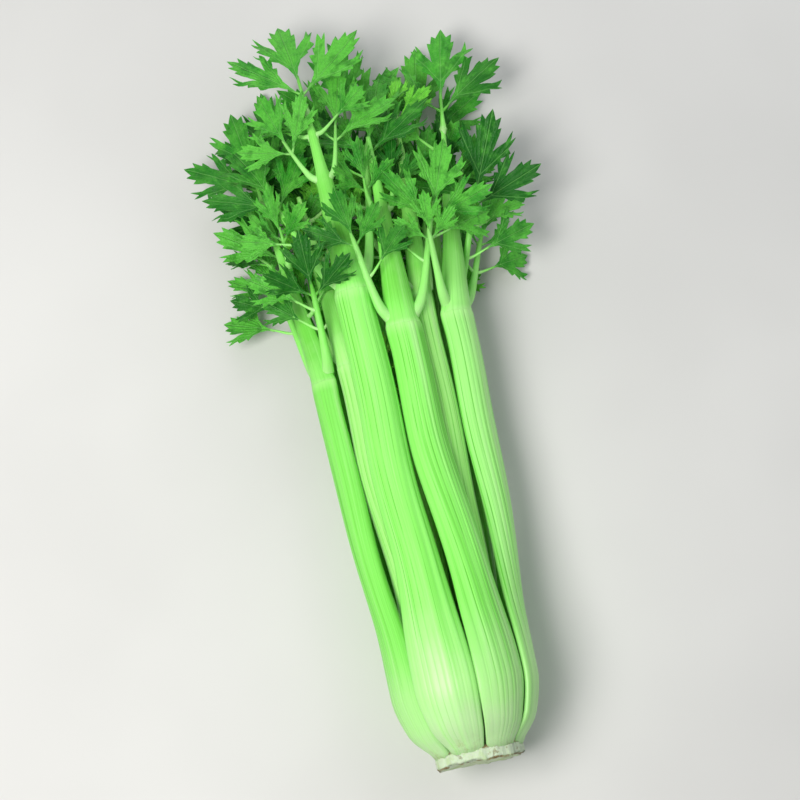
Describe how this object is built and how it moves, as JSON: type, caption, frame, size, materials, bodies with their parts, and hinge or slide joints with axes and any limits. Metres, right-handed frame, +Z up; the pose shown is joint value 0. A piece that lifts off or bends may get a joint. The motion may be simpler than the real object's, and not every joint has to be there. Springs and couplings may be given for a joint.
{
  "type": "head of celery",
  "caption": "Cut head of celery lying on its side: ribbed stalks round a short crown, with toothed leaves spread at the top.",
  "frame": {"origin": "on the surface it lies on, under the middle of the head's length and breadth", "axes": "+Y from the cut foot to the leaf tips, +Z up, +X to the right seen from the foot"},
  "size_m": [0.243, 0.536, 0.1011],
  "materials": {
    "crown_flesh": "matt cut flesh",
    "stalk_green": "satin, ribbed",
    "stalk_pale": "satin, ribbed",
    "stalk_heart": "satin, ribbed",
    "leaf_green": "satin leaf",
    "leaf_light": "satin leaf",
    "leaf_heart": "satin leaf"
  },
  "bodies": {
    "root": {"crown": "crown_flesh", "stalk_01": "stalk_green", "leaf_01": "leaf_green", "stalk_02": "stalk_green", "leaf_02": "leaf_green", "stalk_03": "stalk_green", "leaf_03": "leaf_green", "stalk_04": "stalk_green", "leaf_04": "leaf_green", "stalk_05": "stalk_green", "leaf_05": "leaf_green", "stalk_06": "stalk_green", "leaf_06": "leaf_green", "stalk_07": "stalk_green", "leaf_07": "leaf_green", "stalk_08": "stalk_pale", "leaf_08": "leaf_light", "stalk_09": "stalk_pale", "leaf_09": "leaf_light", "stalk_10": "stalk_pale", "leaf_10": "leaf_light", "stalk_11": "stalk_pale", "leaf_11": "leaf_light", "stalk_12": "stalk_pale", "leaf_12": "leaf_light", "stalk_13": "stalk_heart", "leaf_13": "leaf_heart", "stalk_14": "stalk_heart", "leaf_14": "leaf_heart", "stalk_15": "stalk_heart", "leaf_15": "leaf_heart"}
  },
  "joints": []
}
